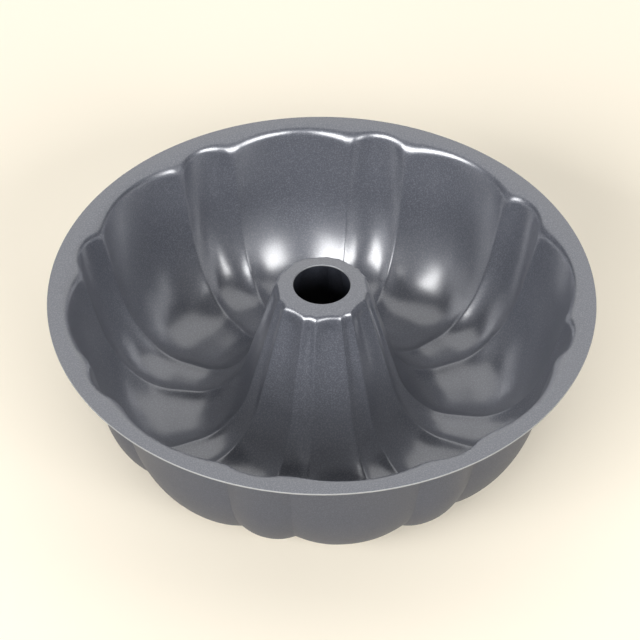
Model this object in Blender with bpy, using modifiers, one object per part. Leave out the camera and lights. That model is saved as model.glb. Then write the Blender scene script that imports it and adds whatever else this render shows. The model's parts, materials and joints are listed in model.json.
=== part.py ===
"""A six-inch fluted tube pan, drawn from one sheet of coated steel.

The pan stands on the flat lands under its wide flutes, with its axis on +Z and a wide flute on +X.
The under face of the sheet is lofted round the axis between three sections, one down the middle of a
wide flute, one down the middle of a narrow flute and one down the crest between them, and the sheet is
then thickened towards the cake.
"""

import math
from dataclasses import dataclass

import bmesh
import bpy

MM = 0.001
DEG = math.pi / 180.0

# Sheet, flange and tube.
SHEET = 0.6 * MM
RIM_RADIUS = 76.2 * MM
RIM_HEIGHT = 48.8 * MM
TUBE_RISE = 2.0 * MM
HOLE_RADIUS = 7.9 * MM
FLANGE_FLAT = 1.2 * MM
RING_SLOPE = 13.0 * DEG

# Slopes and places that every section shares.
WALL_DRAFT = 12.0 * DEG
TUBE_LEAN = 16.0 * DEG
CORNER_HEIGHT = 28.0 * MM
ROOT_HEIGHT = 18.0 * MM
LAND_WIDTH = 6.0 * MM
LAND_CENTRE_SHARE = 0.45
ROOT_SHARE = 0.60

# Section down a crest, and how much deeper the flutes are pressed at the wall, the floor and the tube.
CREST_WALL_INSET = 7.0 * MM
CREST_LIP_RADIUS = 4.6 * MM
CREST_FLOOR_RISE = 2.7 * MM
CREST_TUBE_RADIUS = 12.6 * MM
CREST_SHOULDER_RADIUS = 1.8 * MM
CREST_CORNER_SHARE = 0.62
FLUTE_LIP_RADIUS = 2.3 * MM
WIDE_WALL_DEPTH = 2.3 * MM
WIDE_TUBE_DEPTH = 1.3 * MM
WIDE_SHOULDER_RADIUS = 0.9 * MM
WIDE_CORNER_SHARE = 0.59
NARROW_WALL_DEPTH = 2.2 * MM
NARROW_FLOOR_DEPTH = 1.1 * MM
NARROW_TUBE_DEPTH = 0.7 * MM
NARROW_SHOULDER_RADIUS = 1.2 * MM
NARROW_CORNER_SHARE = 0.60

# Flutes round the pan, the web that a crest widens into at the lip, and how flutes fade at the ring.
FLUTE_PAIRS = 8
WIDE_SPAN = 30.0 * DEG
WEB_WIDTH = 2.6 * MM
WEB_FADE = 4.0 * MM
FULL_HEIGHT = 12.0 * MM
WALL_POWER = 2.0
FLOOR_POWER = 3.0
RING_SHARE = 0.5
RING_FADE = 4.0 * MM

# Places across a flute, from its middle to its crest, where the loft has an edge.
LAND_FLAT_SHARE = 0.3
WIDE_SHARES = (0.0, LAND_FLAT_SHARE, 0.6, 0.85)
NARROW_SHARES = (0.0, 0.4, 0.75)

# Straight pieces in each round stretch of a section.
LIP_STEPS = 3
CORNER_STEPS = 5
ROOT_STEPS = 4
SHOULDER_STEPS = 2

# Stations of a section before the floor: the rim's edge, the flat's inner side, the lip, the web's end
# and the corner.
WALL_STATIONS = 2 + (LIP_STEPS + 1) + 1 + (CORNER_STEPS + 1)

# Share of an arm of a corner that its round may take up.
ARM_SHARE = 0.9

COATING_COLOUR = (0.105, 0.108, 0.120, 1.0)
COATING_ROUGHNESS = 0.38
COATING_METALLIC = 0.35
SMOOTH_ANGLE = 40.0 * DEG
WELD_DISTANCE = 0.001 * MM

# The flat grid that is formed into the sheet reaches this far each way from its middle.
GRID_REACH_SHARE = 0.5


@dataclass(frozen=True)
class Section:
    """One radial section of the sheet's under face."""

    wall_inset: float       # from the rim's edge in to the corner of flange and wall
    lip_radius: float       # round of that corner
    floor_rise: float       # floor above the surface that the pan stands on
    tube_radius: float      # corner of tube and top ring
    shoulder_radius: float  # round of that corner
    corner_share: float     # how far the bend from wall to floor fills its corner


CREST = Section(
    CREST_WALL_INSET,
    CREST_LIP_RADIUS,
    CREST_FLOOR_RISE,
    CREST_TUBE_RADIUS,
    CREST_SHOULDER_RADIUS,
    CREST_CORNER_SHARE,
)
WIDE = Section(
    CREST_WALL_INSET - WIDE_WALL_DEPTH,
    FLUTE_LIP_RADIUS,
    0.0,
    CREST_TUBE_RADIUS - WIDE_TUBE_DEPTH,
    WIDE_SHOULDER_RADIUS,
    WIDE_CORNER_SHARE,
)
NARROW = Section(
    CREST_WALL_INSET - NARROW_WALL_DEPTH,
    FLUTE_LIP_RADIUS,
    CREST_FLOOR_RISE - NARROW_FLOOR_DEPTH,
    CREST_TUBE_RADIUS - NARROW_TUBE_DEPTH,
    NARROW_SHOULDER_RADIUS,
    NARROW_CORNER_SHARE,
)


def towards(start, end, share):
    """Point that lies the given share of the way from start to end."""
    return tuple(a + (b - a) * share for a, b in zip(start, end))


def fillet(before, corner, after, radius, steps):
    """Points of an arc of the given radius that rounds the corner between two straight lines."""
    arm_in = math.dist(corner, before)
    arm_out = math.dist(corner, after)
    cosine = sum((b - c) * (a - c) for b, c, a in zip(before, corner, after)) / (arm_in * arm_out)
    half_angle = math.acos(cosine) / 2
    reach = min(radius / math.tan(half_angle), arm_in * ARM_SHARE, arm_out * ARM_SHARE)
    radius = reach * math.tan(half_angle)
    start = towards(corner, before, reach / arm_in)
    end = towards(corner, after, reach / arm_out)
    middle = towards(start, end, 0.5)
    centre = towards(corner, middle, math.hypot(reach, radius) / math.dist(corner, middle))
    turn = math.pi - 2 * half_angle
    points = []
    for step in range(steps + 1):
        angle = turn * step / steps
        weight_start = math.sin(turn - angle) / math.sin(turn)
        weight_end = math.sin(angle) / math.sin(turn)
        points.append(tuple(c + (s - c) * weight_start + (e - c) * weight_end
                            for c, s, e in zip(centre, start, end)))
    return points


def bend(start, corner, end, corner_share, steps):
    """Points of a smooth bend from start to end that fills the given share of their lines' corner."""
    handle_in = towards(start, corner, corner_share)
    handle_out = towards(end, corner, corner_share)
    points = []
    for step in range(steps + 1):
        t = step / steps
        weights = ((1 - t) ** 3, 3 * t * (1 - t) ** 2, 3 * t ** 2 * (1 - t), t ** 3)
        controls = (start, handle_in, handle_out, end)
        points.append(tuple(sum(w * p[axis] for w, p in zip(weights, controls)) for axis in (0, 1)))
    return points


def section_points(section):
    """Radius and height of each station of a section, from the rim's edge to the hole's edge."""
    flange_height = RIM_HEIGHT - SHEET
    ring_height = RIM_HEIGHT + TUBE_RISE - SHEET
    rim = (RIM_RADIUS, flange_height)
    flat = (RIM_RADIUS - FLANGE_FLAT, flange_height)
    lip = (RIM_RADIUS - section.wall_inset, flange_height)
    wall_slope = math.tan(WALL_DRAFT)
    tube_slope = math.tan(TUBE_LEAN)
    ring_width = section.tube_radius - HOLE_RADIUS
    shoulder = (section.tube_radius, ring_height - ring_width * math.tan(RING_SLOPE))
    hole = (HOLE_RADIUS, ring_height)

    def on_wall(height):
        return (lip[0] - (flange_height - height) * wall_slope, height)

    def on_tube(height):
        return (shoulder[0] + (shoulder[1] - height) * tube_slope, height)

    wall_foot = on_wall(section.floor_rise)
    tube_foot = on_tube(section.floor_rise)
    land_centre = towards(tube_foot, wall_foot, LAND_CENTRE_SHARE)
    land_outer = (land_centre[0] + LAND_WIDTH / 2, section.floor_rise)
    land_inner = (land_centre[0] - LAND_WIDTH / 2, section.floor_rise)
    wall_end = on_wall(CORNER_HEIGHT)
    tube_end = on_tube(ROOT_HEIGHT)
    lip_points = fillet(flat, lip, wall_end, section.lip_radius, LIP_STEPS)
    shoulder_points = fillet(tube_end, shoulder, hole, section.shoulder_radius, SHOULDER_STEPS)
    points = [rim, flat]
    points += lip_points
    points.append(on_wall(lip_points[-1][1] - WEB_FADE))
    points += bend(wall_end, wall_foot, land_outer, section.corner_share, CORNER_STEPS)
    points += bend(land_inner, tube_foot, tube_end, ROOT_SHARE, ROOT_STEPS)
    points.append(on_tube(shoulder_points[0][1] - RING_FADE))
    points += shoulder_points
    points.append(hole)
    return points


def flute_edges():
    """Azimuth of each edge of the loft over one pair of flutes, with its flute and place across it."""
    wide_half = WIDE_SPAN / 2
    pitch = 2 * math.pi / FLUTE_PAIRS
    narrow_half = pitch / 2 - wide_half
    rising = [(share * wide_half, WIDE, share) for share in WIDE_SHARES]
    rising.append((wide_half, WIDE, 1.0))
    rising += [(pitch / 2 - share * narrow_half, NARROW, share) for share in reversed(NARROW_SHARES)]
    falling = [(pitch - azimuth, flute, share) for azimuth, flute, share in reversed(rising[1:-1])]
    return rising + falling


def flute_weight(share, half_width, web, power):
    """Share of a flute's own section that shows across it, beside a crest that is as wide as its web."""
    past_web = max(0.0, (1 - share) * half_width - web)
    return 1 - (1 - past_web / (half_width - web)) ** power


def loft_point(edge, station, sections):
    """Place on the under face at one edge of the loft and one station of its sections."""
    azimuth, flute, share = edge
    crest_point = sections[CREST][station]
    radius, height = crest_point
    half_span = WIDE_SPAN / 2 if flute is WIDE else math.pi / FLUTE_PAIRS - WIDE_SPAN / 2
    if station < WALL_STATIONS:
        web = WEB_WIDTH * math.exp((height - RIM_HEIGHT + SHEET) / WEB_FADE)
        depth_share = 1.0
    else:
        web = 0.0
        fade_start = sections[CREST][-2 - SHOULDER_STEPS][1]
        faded = min(1.0, max(0.0, 1 - (fade_start - height) / RING_FADE))
        depth_share = 1 - (1 - RING_SHARE) * faded
    power = WALL_POWER + (FLOOR_POWER - WALL_POWER) * max(0.0, 1 - height / FULL_HEIGHT)
    weight = depth_share * flute_weight(share, half_span * radius, web, power)
    if share <= LAND_FLAT_SHARE and sections[flute][station][1] <= flute.floor_rise:
        weight = 1.0
    radius, height = towards(crest_point, sections[flute][station], weight)
    return (radius * math.cos(azimuth), radius * math.sin(azimuth), height)


def press_sheet(name):
    """Form a flat grid into the fluted under face and return it as a mesh."""
    sections = {section: section_points(section) for section in (CREST, WIDE, NARROW)}
    stations = len(sections[CREST])
    pair = flute_edges()
    pitch = 2 * math.pi / FLUTE_PAIRS
    edges = [(azimuth + pitch * turn, flute, share) for turn in range(FLUTE_PAIRS)
             for azimuth, flute, share in pair]
    sheet = bmesh.new()
    bmesh.ops.create_grid(sheet, x_segments=len(edges), y_segments=stations - 1, size=GRID_REACH_SHARE)
    for vertex in sheet.verts:
        column = round((vertex.co.x + GRID_REACH_SHARE) * len(edges)) % len(edges)
        row = round((vertex.co.y + GRID_REACH_SHARE) * (stations - 1))
        vertex.co = loft_point(edges[column], row, sections)
    bmesh.ops.remove_doubles(sheet, verts=sheet.verts, dist=WELD_DISTANCE)
    bmesh.ops.recalc_face_normals(sheet, faces=sheet.faces)
    if sum(face.normal.z * face.calc_area() for face in sheet.faces) < 0:
        bmesh.ops.reverse_faces(sheet, faces=sheet.faces)
    mesh = bpy.data.meshes.new(name)
    sheet.to_mesh(mesh)
    sheet.free()
    return mesh


def coating():
    """The dark grey non-stick coating."""
    material = bpy.data.materials.new("nonstick_coating")
    material.use_nodes = True
    shader = material.node_tree.nodes["Principled BSDF"]
    shader.inputs["Base Color"].default_value = COATING_COLOUR
    shader.inputs["Roughness"].default_value = COATING_ROUGHNESS
    shader.inputs["Metallic"].default_value = COATING_METALLIC
    return material


def pan_body(collection):
    """The pan itself: flange, fluted wall, floor and tube in one drawn sheet."""
    mesh = press_sheet("pan_body")
    mesh.materials.append(coating())
    pan = bpy.data.objects.new("pan_body", mesh)
    collection.objects.link(pan)
    thickness = pan.modifiers.new("sheet_thickness", "SOLIDIFY")
    thickness.thickness = SHEET
    thickness.offset = 1.0
    thickness.use_even_offset = True
    mesh.shade_smooth()
    mesh.set_sharp_from_angle(angle=SMOOTH_ANGLE)
    return pan


def main():
    """Clear the scene and build the pan in a collection of its own."""
    for leftover in list(bpy.data.objects):
        bpy.data.objects.remove(leftover, do_unlink=True)
    collection = bpy.data.collections.new("fluted_tube_pan")
    bpy.context.scene.collection.children.link(collection)
    pan_body(collection)


main()
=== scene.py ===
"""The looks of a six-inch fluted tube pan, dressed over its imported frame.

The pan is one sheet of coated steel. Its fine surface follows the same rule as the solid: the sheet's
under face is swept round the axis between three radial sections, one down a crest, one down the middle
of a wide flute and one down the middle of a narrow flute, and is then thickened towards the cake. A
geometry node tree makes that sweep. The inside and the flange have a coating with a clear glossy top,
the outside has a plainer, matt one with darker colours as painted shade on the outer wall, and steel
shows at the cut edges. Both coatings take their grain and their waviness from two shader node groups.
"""

import json
import logging
import math
from dataclasses import dataclass, field
from enum import Enum, IntEnum
from typing import Any

import bpy
from mathutils import Matrix, Vector

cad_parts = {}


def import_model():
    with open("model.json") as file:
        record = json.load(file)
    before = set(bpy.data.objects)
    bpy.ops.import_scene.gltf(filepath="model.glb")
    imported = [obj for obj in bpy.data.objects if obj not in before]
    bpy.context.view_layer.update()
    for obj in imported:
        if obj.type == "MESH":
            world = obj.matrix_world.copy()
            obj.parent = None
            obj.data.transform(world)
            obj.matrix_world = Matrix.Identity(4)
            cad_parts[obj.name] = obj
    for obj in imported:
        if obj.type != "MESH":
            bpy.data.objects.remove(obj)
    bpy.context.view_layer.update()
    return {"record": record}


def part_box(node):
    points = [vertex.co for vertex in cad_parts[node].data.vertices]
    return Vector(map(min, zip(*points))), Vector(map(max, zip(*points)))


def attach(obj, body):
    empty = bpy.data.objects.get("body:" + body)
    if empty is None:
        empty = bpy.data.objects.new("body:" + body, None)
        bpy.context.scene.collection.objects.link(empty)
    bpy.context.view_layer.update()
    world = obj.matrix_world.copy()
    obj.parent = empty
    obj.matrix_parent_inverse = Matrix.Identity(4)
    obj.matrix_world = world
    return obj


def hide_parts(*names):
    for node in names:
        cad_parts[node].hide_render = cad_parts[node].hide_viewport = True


MM = 0.001
DEG = math.pi / 180.0
ARM_SHARE = 0.9  # how much of a straight line's length a fillet may take
HALF = 0.5

LOG = logging.getLogger("fluted_tube_pan")

Point = tuple[float, float]
Colour = tuple[float, float, float, float]
Socket = bpy.types.NodeSocket


class Kind(Enum):
    """The three radial sections that the sheet is swept between."""

    CREST = "crest"
    WIDE = "wide flute"
    NARROW = "narrow flute"


class Slot(IntEnum):
    """The sheet's material slots, in the order in which they are filled."""

    INSIDE = 0
    CUT_EDGE = 1
    OUTSIDE = 2


@dataclass(frozen=True)
class SectionSizes:
    """Sizes of one radial section of the sheet's under face.

    The wall's inset is measured from the rim, the floor's rise from the surface that the pan stands on,
    and the tube's radius at the corner with its top ring. The corner share says how tight the bend
    from wall to floor is.
    """

    wall_inset: float
    lip_radius: float
    floor_rise: float
    tube_radius: float
    shoulder_radius: float
    corner_share: float


@dataclass(frozen=True)
class SheetSizes:
    """Sizes of the whole sheet, in metres and radians, in the frame of the solid.

    A flute stands off the crests beside it by a power curve, with the wall's power from the full height
    up and the floor's at the very bottom. Under the lip a flat web lies between two flutes. Its width
    fades down the wall, and the stations are closer as far as its reach. On the tube's shoulder a flute
    keeps only the ring's share of its depth, and it has all of it one ring fade further down. A line of
    support beside each cut edge keeps the edge's rounding tight.
    """

    rim_radius: float
    rim_height: float
    top_height: float
    sheet: float = 0.6 * MM
    hole_radius: float = 7.9 * MM
    flange_flat: float = 1.2 * MM
    ring_slope: float = 13.0 * DEG
    wall_draft: float = 12.0 * DEG
    tube_lean: float = 16.0 * DEG
    corner_height: float = 28.0 * MM
    root_height: float = 18.0 * MM
    land_width: float = 6.0 * MM
    land_centre_share: float = 0.45
    root_share: float = 0.60
    flute_pairs: int = 8
    wide_span: float = 30.0 * DEG
    web_width: float = 2.6 * MM
    web_fade: float = 4.0 * MM
    web_reach: float = 8.0 * MM
    wall_power: float = 2.0
    floor_power: float = 3.0
    full_height: float = 12.0 * MM
    ring_share: float = 0.5
    ring_fade: float = 4.0 * MM
    crest_softness: float = 0.4 * MM
    edge_round: float = 0.2 * MM
    edge_support: float = 0.4 * MM
    edge_angle: float = 60.0 * DEG
    sections: dict[Kind, SectionSizes] = field(
        default_factory=lambda: {
            Kind.CREST: SectionSizes(
                wall_inset=7.0 * MM,
                lip_radius=4.6 * MM,
                floor_rise=2.7 * MM,
                tube_radius=12.6 * MM,
                shoulder_radius=1.8 * MM,
                corner_share=0.62,
            ),
            Kind.WIDE: SectionSizes(
                wall_inset=4.7 * MM,
                lip_radius=2.3 * MM,
                floor_rise=0.0,
                tube_radius=11.3 * MM,
                shoulder_radius=0.9 * MM,
                corner_share=0.59,
            ),
            Kind.NARROW: SectionSizes(
                wall_inset=4.8 * MM,
                lip_radius=2.3 * MM,
                floor_rise=1.6 * MM,
                tube_radius=11.9 * MM,
                shoulder_radius=1.2 * MM,
                corner_share=0.60,
            ),
        }
    )

    @property
    def flange_height(self) -> float:
        """Height of the flange's under face."""
        return self.rim_height - self.sheet

    @classmethod
    def from_frame(cls, record: dict[str, Any]) -> "SheetSizes":
        """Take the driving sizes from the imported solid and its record.

        Args:
            record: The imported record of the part.

        Returns:
            The sheet's sizes.
        """
        _low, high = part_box("pan_body")
        mounts = {mount["name"]: mount for mount in record["mounts"]}
        return cls(rim_radius=high.x, rim_height=mounts["rim_top"]["pos_m"][2], top_height=high.z)


@dataclass(frozen=True)
class Fineness:
    """How finely the sheet is divided."""

    flange: int = 2
    lip: int = 10
    wall_top: int = 4
    wall: int = 5
    corner: int = 26
    land: int = 3
    root: int = 22
    tube: int = 11
    tube_top: int = 5
    shoulder: int = 6
    ring: int = 5
    wide_columns: int = 16
    narrow_columns: int = 10
    crest_crowding: float = 2.0
    edge_segments: int = 3

    @property
    def pair_columns(self) -> int:
        """Columns of faces over one wide and one narrow flute."""
        return 2 * (self.wide_columns + self.narrow_columns)


def towards(start: Point, end: Point, share: float) -> Point:
    """Point that lies the given share of the way from start to end."""
    return (start[0] + (end[0] - start[0]) * share, start[1] + (end[1] - start[1]) * share)


def run(start: Point, end: Point, steps: int) -> list[Point]:
    """Evenly spaced points after start, up to and including end."""
    return [towards(start, end, step / steps) for step in range(1, steps + 1)]


def fillet(before: Point, corner: Point, after: Point, radius: float, steps: int) -> list[Point]:
    """Round the corner between two straight lines.

    Args:
        before: Point on the line that comes in.
        corner: Where the lines meet.
        after: Point on the line that goes out.
        radius: Radius of the arc, as far as the lines' lengths allow it.
        steps: Straight pieces in the arc.

    Returns:
        The arc's points, both ends included.
    """
    arm_in = math.dist(corner, before)
    arm_out = math.dist(corner, after)
    cosine = sum((b - c) * (a - c) for b, c, a in zip(before, corner, after)) / (arm_in * arm_out)
    half_angle = math.acos(cosine) / 2
    reach = min(radius / math.tan(half_angle), arm_in * ARM_SHARE, arm_out * ARM_SHARE)
    arc_radius = reach * math.tan(half_angle)
    start = towards(corner, before, reach / arm_in)
    end = towards(corner, after, reach / arm_out)
    middle = towards(start, end, HALF)
    centre = towards(corner, middle, math.hypot(reach, arc_radius) / math.dist(corner, middle))
    turn = math.pi - 2 * half_angle
    points = []
    for step in range(steps + 1):
        angle = turn * step / steps
        from_start = math.sin(turn - angle) / math.sin(turn)
        from_end = math.sin(angle) / math.sin(turn)
        points.append(
            (
                centre[0] + (start[0] - centre[0]) * from_start + (end[0] - centre[0]) * from_end,
                centre[1] + (start[1] - centre[1]) * from_start + (end[1] - centre[1]) * from_end,
            )
        )
    return points


def bend(start: Point, corner: Point, end: Point, corner_share: float, steps: int) -> list[Point]:
    """Bend smoothly from start to end inside the corner of their lines.

    Args:
        start: Where the bend leaves the first line.
        corner: Where the lines meet.
        end: Where the bend joins the second line.
        corner_share: How far the curve's handles reach towards the corner.
        steps: Straight pieces in the bend.

    Returns:
        The bend's points, both ends included.
    """
    controls = (start, towards(start, corner, corner_share), towards(end, corner, corner_share), end)
    points = []
    for step in range(steps + 1):
        t = step / steps
        weights = ((1 - t) ** 3, 3 * t * (1 - t) ** 2, 3 * t**2 * (1 - t), t**3)
        points.append(
            (
                sum(w * point[0] for w, point in zip(weights, controls)),
                sum(w * point[1] for w, point in zip(weights, controls)),
            )
        )
    return points


@dataclass(frozen=True)
class SheetSection:
    """One radial section of the under face, as stations from the rim's edge to the hole's edge."""

    sizes: SheetSizes
    kind: Kind
    fineness: Fineness

    def outer_stations(self) -> list[Point]:
        """Divide the flange, the wall and its corner with the floor.

        Returns:
            The stations, from the rim's edge to the land on the floor.
        """
        sizes, own, fine = self.sizes, self.sizes.sections[self.kind], self.fineness
        rim = (sizes.rim_radius, sizes.flange_height)
        flat = (sizes.rim_radius - sizes.flange_flat, sizes.flange_height)
        lip = (sizes.rim_radius - own.wall_inset, sizes.flange_height)
        wall_end = self._on_wall(sizes.corner_height)
        support = towards(rim, flat, sizes.edge_support / sizes.flange_flat)
        lip_points = fillet(flat, lip, wall_end, own.lip_radius, fine.lip)
        points = [rim, support, *run(support, flat, fine.flange)]
        points += [towards(flat, lip_points[0], HALF), *lip_points]
        web_end = towards(lip_points[-1], wall_end, sizes.web_reach / (lip_points[-1][1] - wall_end[1]))
        points += run(lip_points[-1], web_end, fine.wall_top)
        points += run(web_end, wall_end, fine.wall)[:-1]
        land_outer, _land_inner = self._land()
        points += bend(wall_end, self._on_wall(own.floor_rise), land_outer, own.corner_share, fine.corner)
        return points

    def inner_stations(self) -> list[Point]:
        """Divide the flat land, the tube's root, the tube and its top ring.

        Returns:
            The stations, from the land on the floor to the hole's edge.
        """
        sizes, own, fine = self.sizes, self.sizes.sections[self.kind], self.fineness
        land_outer, land_inner = self._land()
        tube_end = self._on_tube(sizes.root_height)
        hole = (sizes.hole_radius, self._ring_height())
        shoulder = fillet(tube_end, self._shoulder(), hole, own.shoulder_radius, fine.shoulder)
        support = towards(hole, shoulder[-1], sizes.edge_support / math.dist(hole, shoulder[-1]))
        points = run(land_outer, land_inner, fine.land)[:-1]
        points += bend(land_inner, self._on_tube(own.floor_rise), tube_end, sizes.root_share, fine.root)
        fade_start = towards(shoulder[0], tube_end, sizes.ring_fade / (shoulder[0][1] - tube_end[1]))
        points += run(tube_end, fade_start, fine.tube)
        points += run(fade_start, shoulder[0], fine.tube_top)[:-1]
        points += shoulder
        points += run(shoulder[-1], support, fine.ring)
        points.append(hole)
        return points

    def _ring_height(self) -> float:
        """Height of the under face at the hole's edge."""
        sizes = self.sizes
        return sizes.top_height - sizes.sheet * math.cos(sizes.ring_slope)

    def _shoulder(self) -> Point:
        """Find the corner of the tube's line and the ring's line.

        Returns:
            The corner.
        """
        own = self.sizes.sections[self.kind]
        width = own.tube_radius - self.sizes.hole_radius
        return (own.tube_radius, self._ring_height() - width * math.tan(self.sizes.ring_slope))

    def _on_wall(self, height: float) -> Point:
        """Find the wall's line at a height.

        Args:
            height: The height.

        Returns:
            The point on the line.
        """
        sizes, own = self.sizes, self.sizes.sections[self.kind]
        drop = sizes.flange_height - height
        return (sizes.rim_radius - own.wall_inset - drop * math.tan(sizes.wall_draft), height)

    def _on_tube(self, height: float) -> Point:
        """Point on the tube's line at the given height."""
        shoulder = self._shoulder()
        return (shoulder[0] + (shoulder[1] - height) * math.tan(self.sizes.tube_lean), height)

    def _land(self) -> tuple[Point, Point]:
        """Place the flat land on the floor.

        Returns:
            Its outer and its inner end.
        """
        rise = self.sizes.sections[self.kind].floor_rise
        centre, _rise = towards(self._on_tube(rise), self._on_wall(rise), self.sizes.land_centre_share)
        half = self.sizes.land_width / 2
        return (centre + half, rise), (centre - half, rise)


class Maths:
    """Short names for the maths nodes of one node tree."""

    def __init__(self, tree: bpy.types.NodeTree) -> None:
        """Keep the tree that the nodes go in."""
        self.tree = tree

    def node(self, kind: str, **properties: Any) -> bpy.types.Node:
        """Add a node.

        Args:
            kind: The node's type name.
            **properties: Values of its own settings.

        Returns:
            The new node.
        """
        node = self.tree.nodes.new(kind)
        for name, value in properties.items():
            setattr(node, name, value)
        return node

    def feed(self, socket: Socket, value: Socket | Colour | float | int) -> None:
        """Link a socket to an input, or set the input to a plain value.

        Args:
            socket: The input.
            value: What it gets.
        """
        if isinstance(value, bpy.types.NodeSocket):
            self.tree.links.new(value, socket)
        else:
            socket.default_value = value

    def do(self, operation: str, *values: Socket | float) -> Socket:
        """Add a Math node.

        Args:
            operation: The node's operation.
            *values: Its inputs, in order.

        Returns:
            Its output.
        """
        node = self.node("ShaderNodeMath", operation=operation)
        for socket, value in zip(node.inputs, values):
            self.feed(socket, value)
        return node.outputs[0]

    def mix(self, share: Socket | float, start: Socket | float, end: Socket | float) -> Socket:
        """Number that lies the given share of the way from start to end."""
        return self.do("ADD", start, self.do("MULTIPLY", share, self.do("SUBTRACT", end, start)))


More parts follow.
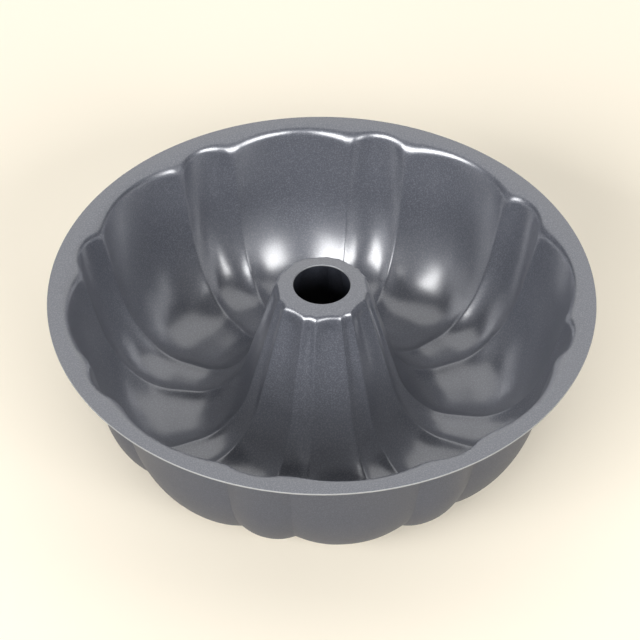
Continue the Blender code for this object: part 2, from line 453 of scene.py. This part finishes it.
class ShellTree:
    """The geometry node tree that sweeps the sheet's under face through its three sections."""

    GRID_MIDDLE = 0.5  # the grid's low edges lie this far below zero
    COLUMN_SLACK = 0.001  # lets the crest's own column count with the wide flute
    INPUTS = (
        ("Crest Section", "NodeSocketObject"),
        ("Wide Section", "NodeSocketObject"),
        ("Narrow Section", "NodeSocketObject"),
        ("Stations", "NodeSocketInt"),
        ("Flute Pairs", "NodeSocketInt"),
        ("Columns Per Pair", "NodeSocketInt"),
        ("Wide Column Share", "NodeSocketFloat"),
        ("Crest Crowding", "NodeSocketFloat"),
        ("Wide Span", "NodeSocketFloat"),
        ("Crest Softness", "NodeSocketFloat"),
        ("Weld Distance", "NodeSocketFloat"),
        ("Material", "NodeSocketMaterial"),
    )

    def __init__(self) -> None:
        """Build the tree."""
        self.tree = bpy.data.node_groups.new("pressed_sheet", "GeometryNodeTree")
        self.maths = Maths(self.tree)
        face = self.tree.interface
        self.identifiers = {
            name: face.new_socket(name, in_out="INPUT", socket_type=kind).identifier
            for name, kind in self.INPUTS
        }
        face.new_socket("Geometry", in_out="OUTPUT", socket_type="NodeSocketGeometry")
        self.given = self.maths.node("NodeGroupInput").outputs
        self._build()

    def modifier_on(self, piece: bpy.types.Object, values: dict[str, Any]) -> bpy.types.NodesModifier:
        """Put the tree on an object.

        Args:
            piece: The object that gets the modifier.
            values: The value of each named input.

        Returns:
            The modifier.
        """
        modifier = piece.modifiers.new("pressed_sheet", "NODES")
        modifier.node_group = self.tree
        for name, value in values.items():
            modifier[self.identifiers[name]] = value
        return modifier

    def _build(self) -> None:
        """Link grid, sections and weights into the swept face.

        The grid is one unit square about its middle, so a vertex's place on it tells its column, which
        runs round the pan, and its row, which is a station of the sections.
        """
        m = self.maths
        columns = m.do("MULTIPLY", self.given["Flute Pairs"], self.given["Columns Per Pair"])
        grid = m.node("GeometryNodeMeshGrid")
        m.feed(grid.inputs["Vertices X"], m.do("ADD", columns, 1.0))
        m.feed(grid.inputs["Vertices Y"], self.given["Stations"])
        place = m.node("ShaderNodeSeparateXYZ")
        m.feed(place.inputs[0], m.node("GeometryNodeInputPosition").outputs[0])
        across = m.do("ADD", place.outputs["X"], self.GRID_MIDDLE)
        column = m.do("ROUND", m.do("MULTIPLY", across, columns))
        along = m.do("ADD", place.outputs["Y"], self.GRID_MIDDLE)
        rows = m.do("SUBTRACT", self.given["Stations"], 1.0)
        row = m.do("ROUND", m.do("MULTIPLY", along, rows))
        azimuth, share, is_narrow, half = self._across(column)
        crest = self._station_place("Crest Section", row)
        wide = self._station_place("Wide Section", row)
        narrow = self._station_place("Narrow Section", row)
        flute = [m.mix(is_narrow, a, b) for a, b in zip(wide, narrow)]
        weight = self._weight(share, half, crest[0], row)
        radius = m.mix(weight, crest[0], flute[0])
        height = m.mix(weight, crest[1], flute[1])
        position = m.node("ShaderNodeCombineXYZ")
        m.feed(position.inputs["X"], m.do("MULTIPLY", radius, m.do("COSINE", azimuth)))
        m.feed(position.inputs["Y"], m.do("MULTIPLY", radius, m.do("SINE", azimuth)))
        m.feed(position.inputs["Z"], height)
        form = m.node("GeometryNodeSetPosition")
        m.feed(form.inputs["Geometry"], grid.outputs["Mesh"])
        m.feed(form.inputs["Position"], position.outputs[0])
        weld = m.node("GeometryNodeMergeByDistance")
        m.feed(weld.inputs["Geometry"], form.outputs["Geometry"])
        m.feed(weld.inputs["Distance"], self.given["Weld Distance"])
        real = m.node("GeometryNodeRealizeInstances")
        m.feed(real.inputs["Geometry"], weld.outputs["Geometry"])
        dress = m.node("GeometryNodeSetMaterial")
        m.feed(dress.inputs["Geometry"], real.outputs["Geometry"])
        m.feed(dress.inputs["Material"], self.given["Material"])
        m.feed(m.node("NodeGroupOutput").inputs["Geometry"], dress.outputs["Geometry"])

    def _across(self, column: Socket) -> tuple[Socket, Socket, Socket, Socket]:
        """Work out where a column of the grid lies among the flutes.

        Args:
            column: Number of the column, counted round the pan.

        Returns:
            Its azimuth, its share of the way from flute middle to crest, whether its flute is a
            narrow one, and the half span of its flute.
        """
        m = self.maths
        phase = m.do("DIVIDE", column, self.given["Columns Per Pair"])
        pair = m.do("FLOOR", phase)
        within = m.do("SUBTRACT", phase, pair)
        from_wide = m.do("MULTIPLY", m.do("MINIMUM", within, m.do("SUBTRACT", 1.0, within)), 2.0)
        edge = self.given["Wide Column Share"]
        is_narrow = m.do("GREATER_THAN", from_wide, m.do("ADD", edge, self.COLUMN_SLACK))
        pitch = m.do("DIVIDE", math.tau, self.given["Flute Pairs"])
        half_pitch = m.do("MULTIPLY", pitch, HALF)
        wide_half = m.do("MULTIPLY", self.given["Wide Span"], HALF)
        narrow_half = m.do("SUBTRACT", half_pitch, wide_half)
        even_wide = m.do("DIVIDE", from_wide, edge)
        even_narrow = m.do("DIVIDE", m.do("SUBTRACT", 1.0, from_wide), m.do("SUBTRACT", 1.0, edge))
        even = m.mix(is_narrow, even_wide, even_narrow)
        rest = m.do("MAXIMUM", m.do("SUBTRACT", 1.0, even), 0.0)
        share = m.do("SUBTRACT", 1.0, m.do("POWER", rest, self.given["Crest Crowding"]))
        in_wide = m.do("MULTIPLY", share, wide_half)
        in_narrow = m.do("SUBTRACT", half_pitch, m.do("MULTIPLY", share, narrow_half))
        offset = m.mix(is_narrow, in_wide, in_narrow)
        past_middle = m.do("GREATER_THAN", within, HALF)
        turned = m.mix(past_middle, offset, m.do("SUBTRACT", pitch, offset))
        azimuth = m.do("ADD", m.do("MULTIPLY", pair, pitch), turned)
        return azimuth, share, is_narrow, m.mix(is_narrow, wide_half, narrow_half)

    def _at_station(self, section: str, value: Socket, data_type: str, row: Socket) -> Socket:
        """Read a value at one station of a section.

        Args:
            section: Name of the input that holds the section.
            value: The field to read.
            data_type: The field's type.
            row: Number of the station.

        Returns:
            The value there.
        """
        m = self.maths
        guide = m.node("GeometryNodeObjectInfo")
        m.feed(guide.inputs["Object"], self.given[section])
        sample = m.node("GeometryNodeSampleIndex", data_type=data_type, domain="POINT")
        m.feed(sample.inputs["Geometry"], guide.outputs["Geometry"])
        m.feed(sample.inputs["Value"], value)
        m.feed(sample.inputs["Index"], row)
        return sample.outputs["Value"]

    def _station_place(self, section: str, row: Socket) -> tuple[Socket, Socket]:
        """Read where a station of a section lies.

        Args:
            section: Name of the input that holds the section.
            row: Number of the station.

        Returns:
            The station's radius and height.
        """
        position = self.maths.node("GeometryNodeInputPosition").outputs[0]
        split = self.maths.node("ShaderNodeSeparateXYZ")
        self.maths.feed(split.inputs[0], self._at_station(section, position, "FLOAT_VECTOR", row))
        return split.outputs["X"], split.outputs["Z"]

    def _station_value(self, name: str, row: Socket) -> Socket:
        """Read a blend value that the crest section carries.

        Args:
            name: Name of the attribute.
            row: Number of the station.

        Returns:
            The value there.
        """
        attribute = self.maths.node("GeometryNodeInputNamedAttribute", data_type="FLOAT")
        attribute.inputs["Name"].default_value = name
        return self._at_station("Crest Section", attribute.outputs["Attribute"], "FLOAT", row)

    def _weight(self, share: Socket, half: Socket, radius: Socket, row: Socket) -> Socket:
        """Blend a flute's section with the crest's.

        Args:
            share: Share of the way from flute middle to crest.
            half: Half span of the flute.
            radius: Radius of the crest at this station.
            row: Number of the station.

        Returns:
            How much of the flute's own section shows.
        """
        m = self.maths
        web = self._station_value("web", row)
        width = m.do("MULTIPLY", half, radius)
        away = m.do("MULTIPLY", m.do("SUBTRACT", 1.0, share), width)
        past_web = m.do("SUBTRACT", self._past(away, web), self._past(0.0, web))
        room = m.do("SUBTRACT", self._past(width, web), self._past(0.0, web))
        closed = m.do("MAXIMUM", m.do("SUBTRACT", 1.0, m.do("DIVIDE", past_web, room)), 0.0)
        lobe = m.do("SUBTRACT", 1.0, m.do("POWER", closed, self._station_value("power", row)))
        return m.do("MULTIPLY", lobe, self._station_value("depth_share", row))

    def _past(self, length: Socket | float, web: Socket) -> Socket:
        """Measure what is left of a length past the web, with a soft start at the crest.

        Args:
            length: The length.
            web: Width of the web.

        Returns:
            The rest, which fades to nothing inside the web.
        """
        m = self.maths
        past = m.do("SUBTRACT", length, web)
        softened = m.do("ADD", past, self._hypotenuse(past, self.given["Crest Softness"]))
        return m.do("MULTIPLY", softened, HALF)

    def _hypotenuse(self, a: Socket, b: Socket) -> Socket:
        """Square root of the sum of two squares."""
        m = self.maths
        return m.do("SQRT", m.do("ADD", m.do("MULTIPLY", a, a), m.do("MULTIPLY", b, b)))


class EffectGroups:
    """The shader node groups that give both coatings their grain and their waviness."""

    GRAIN_DETAIL = 3.0
    GRAIN_ROUGHNESS = 0.62
    FLECK_HIGHEST_START = 0.72
    FLECK_START_RANGE = 0.6
    FLECK_FULL = 0.70
    WAVE_DETAIL = 1.5
    TONE_SCALE_SHARE = 0.4
    TONE_DETAIL = 4.0

    def __init__(self) -> None:
        """Build each group once."""
        self.speckle = self._speckle()
        self.waviness = self._waviness()

    @staticmethod
    def _start(name: str, inputs: dict[str, str], outputs: dict[str, str]) -> tuple[Maths, Any, Any]:
        """Make an empty group with its sockets.

        Args:
            name: The group's name.
            inputs: Socket types of the inputs by name.
            outputs: Socket types of the outputs by name.

        Returns:
            The group's maths helper, and the sockets that it is given and that it gives.
        """
        tree = bpy.data.node_groups.new(name, "ShaderNodeTree")
        for socket, kind in inputs.items():
            tree.interface.new_socket(socket, in_out="INPUT", socket_type=kind)
        for socket, kind in outputs.items():
            tree.interface.new_socket(socket, in_out="OUTPUT", socket_type=kind)
        maths = Maths(tree)
        return maths, maths.node("NodeGroupInput").outputs, maths.node("NodeGroupOutput").inputs

    @staticmethod
    def _noise(m: Maths, vector: Socket, scale: Socket, detail: float) -> bpy.types.Node:
        """Add a noise to a group.

        Args:
            m: The group's maths helper.
            vector: Where the noise is read.
            scale: Its scale.
            detail: Its detail.

        Returns:
            The noise node.
        """
        noise = m.node("ShaderNodeTexNoise", noise_dimensions="3D")
        m.feed(noise.inputs["Vector"], vector)
        m.feed(noise.inputs["Scale"], scale)
        noise.inputs["Detail"].default_value = detail
        return noise

    def _speckle(self) -> bpy.types.NodeTree:
        """Build the fine grain of a sprayed coating.

        Returns:
            A group that gives a height and a mask of paler flecks.
        """
        m, given, gives = self._start(
            "coating_speckle",
            {"Vector": "NodeSocketVector", "Scale": "NodeSocketFloat", "Fleck Share": "NodeSocketFloat"},
            {"Height": "NodeSocketFloat", "Flecks": "NodeSocketFloat"},
        )
        grain = self._noise(m, given["Vector"], given["Scale"], self.GRAIN_DETAIL)
        grain.inputs["Roughness"].default_value = self.GRAIN_ROUGHNESS
        lowered = m.do("MULTIPLY", given["Fleck Share"], self.FLECK_START_RANGE)
        flecks = m.node("ShaderNodeMapRange", interpolation_type="SMOOTHSTEP")
        m.feed(flecks.inputs["Value"], grain.outputs["Fac"])
        m.feed(flecks.inputs["From Min"], m.do("SUBTRACT", self.FLECK_HIGHEST_START, lowered))
        flecks.inputs["From Max"].default_value = self.FLECK_FULL
        m.feed(gives["Height"], grain.outputs["Fac"])
        m.feed(gives["Flecks"], flecks.outputs["Result"])
        return m.tree

    def _waviness(self) -> bpy.types.NodeTree:
        """Build the slow waviness of drawn sheet under a sprayed coating.

        Returns:
            A group that gives a height and a tone that drifts.
        """
        m, given, gives = self._start(
            "sheet_waviness",
            {"Vector": "NodeSocketVector", "Scale": "NodeSocketFloat"},
            {"Height": "NodeSocketFloat", "Tone": "NodeSocketFloat"},
        )
        tone_scale = m.do("MULTIPLY", given["Scale"], self.TONE_SCALE_SHARE)
        slow = self._noise(m, given["Vector"], given["Scale"], self.WAVE_DETAIL)
        tone = self._noise(m, given["Vector"], tone_scale, self.TONE_DETAIL)
        m.feed(gives["Height"], slow.outputs["Fac"])
        m.feed(gives["Tone"], tone.outputs["Fac"])
        return m.tree


@dataclass(frozen=True)
class CoatingFinish:
    """Satin dark grey non-stick coating, sprayed on the sheet."""

    name: str = "nonstick_coating"
    deep: Colour = (0.084, 0.090, 0.112, 1.0)
    pale: Colour = (0.106, 0.113, 0.138, 1.0)
    fleck: Colour = (0.160, 0.168, 0.198, 1.0)
    roughness: float = 0.42
    fleck_roughness: float = 0.5
    metallic: float = 0.45
    coat_weight: float = 1.0
    coat_roughness: float = 0.25
    coat_ior: float = 2.25
    speckle_scale: float = 2600.0
    fleck_share: float = 0.5
    wave_scale: float = 95.0
    speckle_height: float = 0.012 * MM
    wave_height: float = 0.05 * MM

    @classmethod
    def plain(cls) -> "CoatingFinish":
        """Make the coating as the outside has it: matt, without its glossy top, and with darker colours
        that paint shade onto the outer wall.

        Returns:
            The outside's finish.
        """
        return cls(
            name="outside_coating",
            # The outside's colours are well under half the inside's: painted shade that darkens the outer
            # wall.
            deep=(0.036, 0.040, 0.055, 1.0),
            pale=(0.047, 0.052, 0.070, 1.0),
            fleck=(0.065, 0.071, 0.092, 1.0),
            roughness=0.5,
            metallic=0.0,
            coat_weight=0.0,
        )

    def material(self, groups: EffectGroups) -> bpy.types.Material:
        """Build the material.

        Args:
            groups: The shared effect groups.

        Returns:
            The finished material.
        """
        material = bpy.data.materials.new(self.name)
        material.use_nodes = True
        tree = material.node_tree
        m = Maths(tree)
        shader = tree.nodes["Principled BSDF"]
        place = m.node("ShaderNodeTexCoord").outputs["Object"]
        speckle = m.node("ShaderNodeGroup", node_tree=groups.speckle)
        m.feed(speckle.inputs["Vector"], place)
        speckle.inputs["Scale"].default_value = self.speckle_scale
        speckle.inputs["Fleck Share"].default_value = self.fleck_share
        waves = m.node("ShaderNodeGroup", node_tree=groups.waviness)
        m.feed(waves.inputs["Vector"], place)
        waves.inputs["Scale"].default_value = self.wave_scale
        base = self._blend(m, waves.outputs["Tone"], self.deep, self.pale)
        m.feed(shader.inputs["Base Color"], self._blend(m, speckle.outputs["Flecks"], base, self.fleck))
        rough = m.mix(speckle.outputs["Flecks"], self.roughness, self.fleck_roughness)
        m.feed(shader.inputs["Roughness"], rough)
        shader.inputs["Metallic"].default_value = self.metallic
        shader.inputs["Coat Weight"].default_value = self.coat_weight
        shader.inputs["Coat Roughness"].default_value = self.coat_roughness
        shader.inputs["Coat IOR"].default_value = self.coat_ior
        slow = m.node("ShaderNodeBump")
        slow.inputs["Distance"].default_value = self.wave_height
        m.feed(slow.inputs["Height"], waves.outputs["Height"])
        fine = m.node("ShaderNodeBump")
        fine.inputs["Distance"].default_value = self.speckle_height
        m.feed(fine.inputs["Height"], speckle.outputs["Height"])
        m.feed(fine.inputs["Normal"], slow.outputs["Normal"])
        m.feed(shader.inputs["Normal"], fine.outputs["Normal"])
        return material

    @staticmethod
    def _blend(m: Maths, share: Socket, start: Socket | Colour, end: Socket | Colour) -> Socket:
        """Mix two colours.

        Args:
            m: The material's maths helper.
            share: Share of the way from the first colour to the second.
            start: The first colour.
            end: The second colour.

        Returns:
            The mixed colour.
        """
        mix = m.node("ShaderNodeMix", data_type="RGBA")
        sockets = {socket.identifier: socket for socket in (*mix.inputs, *mix.outputs)}
        m.feed(sockets["Factor_Float"], share)
        m.feed(sockets["A_Color"], start)
        m.feed(sockets["B_Color"], end)
        return sockets["Result_Color"]


@dataclass(frozen=True)
class CutEdgeFinish:
    """Edge of the sheet where the press cut it, with the coating thin over bright steel."""

    name: str = "cut_edge"
    steel: Colour = (0.34, 0.35, 0.36, 1.0)
    roughness: float = 0.45
    dull_roughness: float = 0.72
    metallic: float = 0.6
    grain_scale: float = 600.0

    def material(self) -> bpy.types.Material:
        """Build the material.

        Returns:
            The finished material.
        """
        material = bpy.data.materials.new(self.name)
        material.use_nodes = True
        m = Maths(material.node_tree)
        shader = material.node_tree.nodes["Principled BSDF"]
        noise = m.node("ShaderNodeTexNoise", noise_dimensions="3D")
        m.feed(noise.inputs["Vector"], m.node("ShaderNodeTexCoord").outputs["Object"])
        noise.inputs["Scale"].default_value = self.grain_scale
        shader.inputs["Base Color"].default_value = self.steel
        m.feed(shader.inputs["Roughness"], m.mix(noise.outputs["Fac"], self.roughness, self.dull_roughness))
        shader.inputs["Metallic"].default_value = self.metallic
        return material


@dataclass
class PressedPan:
    """The pan: one drawn sheet with its flange, fluted wall, floor and tube."""

    sizes: SheetSizes
    fineness: Fineness = field(default_factory=Fineness)
    coating: CoatingFinish = field(default_factory=CoatingFinish)
    # The outside's coating is matt, and darker as painted shade.
    outside: CoatingFinish = field(default_factory=CoatingFinish.plain)
    cut_edge: CutEdgeFinish = field(default_factory=CutEdgeFinish)
    weld_distance: float = 0.001 * MM

    def build(self, tree: ShellTree, groups: EffectGroups) -> bpy.types.Object:
        """Form the sheet, thicken it, round its cut edges and dress it.

        Args:
            tree: The node tree that sweeps the under face.
            groups: The shared effect groups.

        Returns:
            The finished piece, a plain mesh at the origin.
        """
        guides = {kind: self._guide(kind) for kind in Kind}
        blank = self._object("pan_blank", bpy.data.meshes.new("pan_blank"))
        values = {
            "Crest Section": guides[Kind.CREST],
            "Wide Section": guides[Kind.WIDE],
            "Narrow Section": guides[Kind.NARROW],
            "Stations": len(guides[Kind.CREST].data.vertices),
            "Flute Pairs": self.sizes.flute_pairs,
            "Columns Per Pair": self.fineness.pair_columns,
            "Wide Column Share": 2 * self.fineness.wide_columns / self.fineness.pair_columns,
            "Crest Crowding": self.fineness.crest_crowding,
            "Wide Span": self.sizes.wide_span,
            "Crest Softness": self.sizes.crest_softness,
            "Weld Distance": self.weld_distance,
            "Material": self.coating.material(groups),
        }
        tree.modifier_on(blank, values)
        face = self._plain(blank, "under_face")
        for finish in (self.cut_edge.material(), self.outside.material(groups)):
            face.data.materials.append(finish)
        self._thicken(face)
        pan = self._plain(face, "pan_shell")
        pan.data.shade_smooth()
        for guide in guides.values():
            bpy.data.objects.remove(guide, do_unlink=True)
        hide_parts("pan_body")
        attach(pan, "root")
        LOG.info("pan_shell: %d vertices, %d faces", len(pan.data.vertices), len(pan.data.polygons))
        return pan

    @staticmethod
    def _object(name: str, mesh: bpy.types.Mesh) -> bpy.types.Object:
        """Put a mesh in the scene.

        Args:
            name: Name of the new object.
            mesh: Its mesh, in the frame of the solid.

        Returns:
            The new object, at the origin.
        """
        made = bpy.data.objects.new(name, mesh)
        bpy.context.scene.collection.objects.link(made)
        return made

    def _guide(self, kind: Kind) -> bpy.types.Object:
        """Make a section's stations, with their blend values, as a guide for the node tree.

        Args:
            kind: The section to make.

        Returns:
            An object whose vertices are the stations, in order from rim to hole.
        """
        section = SheetSection(self.sizes, kind, self.fineness)
        outer, inner = section.outer_stations(), section.inner_stations()
        mesh = bpy.data.meshes.new(f"{kind.value} guide")
        mesh.from_pydata([(radius, 0.0, height) for radius, height in outer + inner], [], [])
        names = ("web", "power", "depth_share")
        web, power, depth_share = (mesh.attributes.new(name, "FLOAT", "POINT").data for name in names)
        # The inner stations end with the shoulder's arc, then the ring's steps and the hole's edge.
        foot = len(inner) - (self.fineness.shoulder + 1) - (self.fineness.ring + 1)
        _radius, foot_height = inner[foot]
        for index, (_radius, height) in enumerate(outer + inner):
            on_wall = index < len(outer)
            web[index].value = self._web(height) if on_wall else 0.0
            power[index].value = self._power(height)
            depth_share[index].value = 1.0 if on_wall else self._tube_share(foot_height - height)
        return self._object(mesh.name, mesh)

    def _web(self, height: float) -> float:
        """Width of the flat web between two flutes, which narrows down the wall."""
        drop = self.sizes.flange_height - height
        return self.sizes.web_width * math.exp(-drop / self.sizes.web_fade)

    def _power(self, height: float) -> float:
        """How full a flute's curve is, from the wall's value to the floor's."""
        low = max(0.0, 1 - height / self.sizes.full_height)
        return self.sizes.wall_power + (self.sizes.floor_power - self.sizes.wall_power) * low

    def _tube_share(self, drop: float) -> float:
        """Find how much of a flute's depth shows on the tube.

        Args:
            drop: How far below the tube's shoulder.

        Returns:
            The share, from the ring's value up to 1.
        """
        below = min(1.0, max(0.0, drop / self.sizes.ring_fade))
        eased = below * below * (3 - 2 * below)
        return self.sizes.ring_share + (1 - self.sizes.ring_share) * eased

    def _thicken(self, face: bpy.types.Object) -> None:
        """Give the under face its thickness towards the cake, and round the cut edges.

        Args:
            face: The under face, with all its material slots filled.
        """
        solid = face.modifiers.new("sheet_thickness", "SOLIDIFY")
        solid.thickness = self.sizes.sheet
        solid.offset = 1.0
        solid.use_even_offset = True
        solid.material_offset = Slot.OUTSIDE - Slot.INSIDE
        solid.material_offset_rim = Slot.CUT_EDGE - Slot.INSIDE
        edge = face.modifiers.new("edge_round", "BEVEL")
        edge.limit_method = "ANGLE"
        edge.angle_limit = self.sizes.edge_angle
        edge.width = self.sizes.edge_round
        edge.segments = self.fineness.edge_segments

    def _plain(self, source: bpy.types.Object, name: str) -> bpy.types.Object:
        """Turn an object's evaluated mesh into a plain mesh object and remove the source.

        Args:
            source: The object to read, with its modifiers.
            name: Name of the new object.

        Returns:
            The new object.
        """
        graph = bpy.context.evaluated_depsgraph_get()
        mesh = bpy.data.meshes.new_from_object(source.evaluated_get(graph))
        mesh.name = name
        made = self._object(name, mesh)
        bpy.data.objects.remove(source, do_unlink=True)
        return made


@dataclass(frozen=True)
class FloorFinish:
    """Matt pale floor."""

    colour: Colour = (0.95, 0.875, 0.735, 1.0)
    roughness: float = 0.9
    specular: float = 0.0

    def material(self) -> bpy.types.Material:
        """Build the material.

        Returns:
            The finished material.
        """
        material = bpy.data.materials.new("floor")
        material.use_nodes = True
        shader = material.node_tree.nodes["Principled BSDF"]
        shader.inputs["Base Color"].default_value = self.colour
        shader.inputs["Roughness"].default_value = self.roughness
        shader.inputs["Specular IOR Level"].default_value = self.specular
        return material


def direction(azimuth: float, elevation: float) -> Vector:
    """Unit vector that points to the given azimuth and elevation."""
    flat = math.cos(elevation)
    return Vector((flat * math.cos(azimuth), flat * math.sin(azimuth), math.sin(elevation)))


@dataclass(frozen=True)
class Softbox:
    """A rectangular lamp that faces the pan."""

    name: str
    azimuth: float
    elevation: float
    width: float
    height: float
    radiance: float
    distance: float = 2.4

    def hang(self, target: Vector) -> None:
        """Hang the lamp in its direction from the target, and turn it to face it.

        Args:
            target: The point that the lamp faces.
        """
        data = bpy.data.lights.new(self.name, "AREA")
        data.shape = "RECTANGLE"
        data.size = self.width
        data.size_y = self.height
        data.energy = math.pi * self.width * self.height * self.radiance
        lamp = bpy.data.objects.new(self.name, data)
        away = direction(self.azimuth, self.elevation)
        lamp.location = target + away * self.distance
        lamp.rotation_euler = (-away).to_track_quat("-Z", "Y").to_euler()
        bpy.context.scene.collection.objects.link(lamp)


@dataclass(frozen=True)
class Studio:
    """Plain pale floor, soft lamps, world and the camera at the photograph's angle."""

    rim_height: float
    floor_reach: float = 4.0
    floor_finish: FloorFinish = FloorFinish()
    world_colour: Colour = (0.97, 0.98, 1.0, 1.0)
    world_strength: float = 0.05
    softboxes: tuple[Softbox, ...] = (
        Softbox(
            name="left_softbox",
            azimuth=-135 * DEG,
            elevation=27.5 * DEG,
            width=2.3,
            height=1.16,
            radiance=8.4,
        ),
        Softbox(
            name="right_softbox",
            azimuth=-62 * DEG,
            elevation=26 * DEG,
            width=1.5,
            height=1.04,
            radiance=8.4,
        ),
        Softbox(
            name="back_softbox",
            azimuth=74 * DEG,
            elevation=52 * DEG,
            width=6.6,
            height=5.4,
            radiance=0.82,
        ),
    )
    camera_distance: float = 639.0 * MM
    camera_elevation: float = 43.18 * DEG
    camera_azimuth: float = -98.18 * DEG
    camera_pan: float = 0.04 * DEG
    camera_tilt: float = -0.77 * DEG
    camera_roll: float = -0.32 * DEG
    lens: float = 129.2
    sensor: float = 36.0

    def build(self) -> None:
        """Make the floor, the lamps, the world and the camera."""
        self._floor()
        self._world()
        for softbox in self.softboxes:
            softbox.hang(Vector((0.0, 0.0, self.rim_height / 2)))
        self._camera()

    def _floor(self) -> None:
        """Lay the floor that the pan stands on."""
        bpy.ops.mesh.primitive_plane_add(size=self.floor_reach)
        floor = bpy.context.object
        floor.name = "floor"
        floor.data.materials.append(self.floor_finish.material())

    def _world(self) -> None:
        """Light the room evenly."""
        world = bpy.data.worlds.new("studio")
        world.use_nodes = True
        background = world.node_tree.nodes["Background"]
        background.inputs["Color"].default_value = self.world_colour
        background.inputs["Strength"].default_value = self.world_strength
        bpy.context.scene.world = world

    def _camera(self) -> None:
        """Stand the camera where the photograph was taken from."""
        data = bpy.data.cameras.new("camera")
        data.sensor_width = self.sensor
        data.lens = self.lens
        camera = bpy.data.objects.new("camera", data)
        bpy.context.scene.collection.objects.link(camera)
        away = direction(self.camera_azimuth, self.camera_elevation)
        look = (-away).to_track_quat("-Z", "Y").to_matrix()
        turn = Matrix.Rotation(self.camera_pan, 3, look.col[1])
        tilt = Matrix.Rotation(self.camera_tilt, 3, turn @ look.col[0])
        look = tilt @ turn @ look
        look = Matrix.Rotation(self.camera_roll, 3, -look.col[2]) @ look
        place = Vector((0, 0, self.rim_height)) + away * self.camera_distance
        camera.matrix_world = Matrix.Translation(place) @ look.to_4x4()
        bpy.context.scene.camera = camera


def main() -> None:
    """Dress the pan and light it."""
    logging.basicConfig(level=logging.INFO, format="%(name)s: %(message)s")
    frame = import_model()
    sizes = SheetSizes.from_frame(frame["record"])
    PressedPan(sizes).build(ShellTree(), EffectGroups())
    Studio(sizes.rim_height).build()
    bpy.context.scene.view_settings.view_transform = "Standard"


if __name__ == "__main__":
    main()
